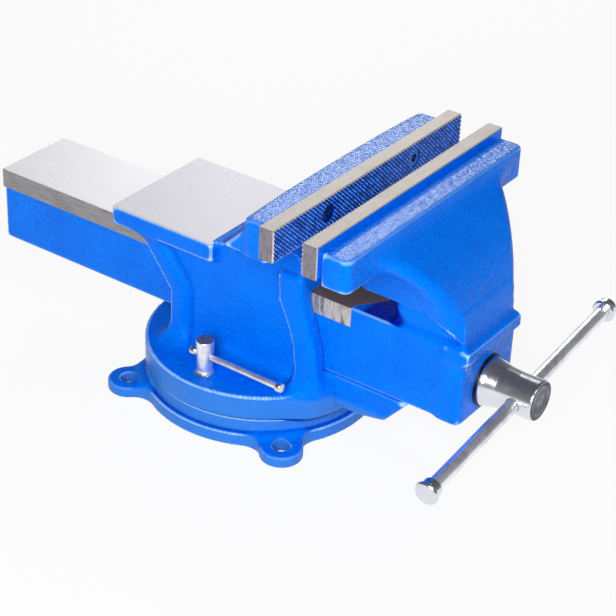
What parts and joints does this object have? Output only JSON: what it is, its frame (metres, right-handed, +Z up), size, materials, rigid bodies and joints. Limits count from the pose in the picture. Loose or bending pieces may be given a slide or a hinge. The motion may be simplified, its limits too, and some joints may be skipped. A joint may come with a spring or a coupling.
{
  "type": "bench vise",
  "caption": "Blue cast iron swivel bench vise with a wide fixed jaw and anvil, a slide beam that carries the moving jaw, a lead screw with a sliding handle, and two swivel locks.",
  "frame": {"origin": "on the swivel axis at the bench face, the centre of the bench bolt circle", "axes": "+Z up from the bench, +X along the jaws to the operator's right, +Y along the screw away from the operator"},
  "size_m": [0.2152, 0.4061, 0.183],
  "materials": {
    "blue_paint": "gloss over rough casting",
    "plate_steel": "knurled and ground",
    "bright_steel": "polished plating",
    "dark_steel": "black oxide",
    "raw_iron": "as cast"
  },
  "bodies": {
    "base_body": {"base": "blue_paint"},
    "swivel_body": {"body": "blue_paint", "fixed_jaw_plate": "plate_steel", "fixed_plate_screw_left": "dark_steel", "fixed_plate_screw_right": "dark_steel", "screw_nut": "raw_iron", "nut_bolt": "dark_steel", "lock_washer_left": "bright_steel", "lock_washer_right": "bright_steel", "clamp_nut_left": "dark_steel", "clamp_nut_right": "dark_steel"},
    "slide_body": {"moving_jaw": "blue_paint", "moving_jaw_plate": "plate_steel", "moving_plate_screw_left": "dark_steel", "moving_plate_screw_right": "dark_steel", "thrust_washer": "bright_steel"},
    "screw_body": {"lead_screw": "bright_steel", "retaining_collar": "dark_steel", "collar_pin": "bright_steel"},
    "handle_body": {"handle_bar": "bright_steel", "handle_cap_left": "bright_steel", "handle_cap_right": "bright_steel"},
    "lock_left_body": {"lock_screw_left": "bright_steel"},
    "lock_right_body": {"lock_screw_right": "bright_steel"},
    "lock_bar_left_body": {"lock_bar_left": "bright_steel", "lock_knob_left_front": "bright_steel", "lock_knob_left_rear": "bright_steel"},
    "lock_bar_right_body": {"lock_bar_right": "bright_steel", "lock_knob_right_front": "bright_steel", "lock_knob_right_rear": "bright_steel"}
  },
  "joints": [
    {"name": "swivel", "type": "hinge", "parent": "base_body", "child": "swivel_body", "pos_m": [0, 0, 0], "axis": [0, 0, 1], "continuous": true},
    {"name": "jaw_slide", "type": "slide", "parent": "swivel_body", "child": "slide_body", "axis": [0, -1, 0], "range_m": [-0.018, 0.162]},
    {"name": "screw_turn", "type": "hinge", "parent": "slide_body", "child": "screw_body", "pos_m": [0, 0, 0.07], "axis": [0, -1, 0], "range_deg": [-1081, 9721]},
    {"name": "handle_slide", "type": "slide", "parent": "screw_body", "child": "handle_body", "axis": [0.9936, 0, 0.1132], "range_m": [-0.083, 0.083]},
    {"name": "lock_left_turn", "type": "hinge", "parent": "swivel_body", "child": "lock_left_body", "pos_m": [-0.061, 0, 0], "axis": [0, 0, 1], "range_deg": [-14, 14]},
    {"name": "lock_right_turn", "type": "hinge", "parent": "swivel_body", "child": "lock_right_body", "pos_m": [0.061, 0, 0], "axis": [0, 0, 1], "range_deg": [-14, 14]},
    {"name": "lock_bar_left_slide", "type": "slide", "parent": "lock_left_body", "child": "lock_bar_left_body", "axis": [0, 1, 0], "range_m": [0, 0.0498]},
    {"name": "lock_bar_right_slide", "type": "slide", "parent": "lock_right_body", "child": "lock_bar_right_body", "axis": [0, 1, 0], "range_m": [0, 0.0498]}
  ],
  "couplings": [
    {"joint": "screw_turn", "follows": "jaw_slide", "rad_per_m": 1047.2}
  ]
}
